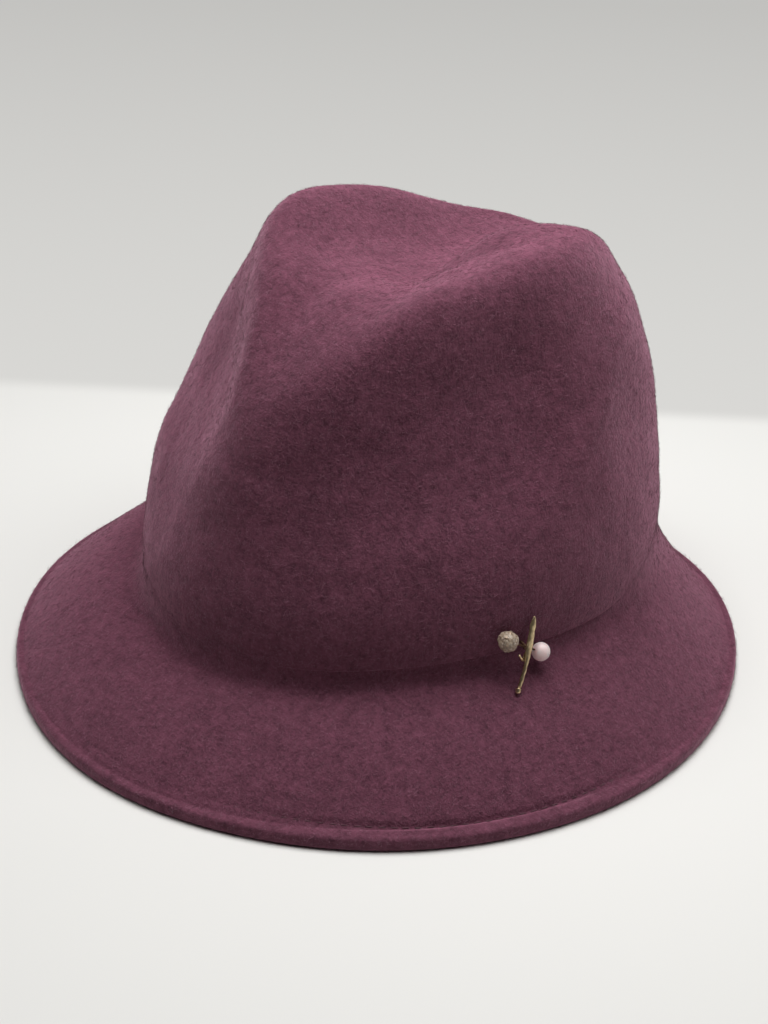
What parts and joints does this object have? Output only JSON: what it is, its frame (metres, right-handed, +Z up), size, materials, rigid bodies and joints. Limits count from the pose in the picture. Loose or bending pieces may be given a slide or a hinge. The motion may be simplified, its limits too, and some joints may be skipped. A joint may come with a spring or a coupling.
{
  "type": "felt hat with brooch",
  "caption": "Felt hat with a tear-drop crown pinched at the front, a sloping brim with a rolled stitched hem, and a small bar brooch with beads at the crease.",
  "frame": {"origin": "on the surface that the hat stands on, under the middle of its box", "axes": "+Z up, -Y the front of the hat, +X the wearer's left"},
  "size_m": [0.2584, 0.2718, 0.1577],
  "materials": {
    "crown_felt": "burgundy wool felt with a short nap",
    "brim_felt": "burgundy wool felt with a short nap",
    "brooch_brass": "dull hammered brass",
    "pearl": "pale pink pearl",
    "rough_stone": "rough crystalline, grey with gold glints",
    "clutch_brass": "satin"
  },
  "bodies": {
    "root": {"crown": "crown_felt", "brim": "brim_felt", "brooch_bar": "brooch_brass", "pearl_bead": "pearl", "rough_bead": "rough_stone", "pin_clutch": "clutch_brass"}
  },
  "joints": []
}
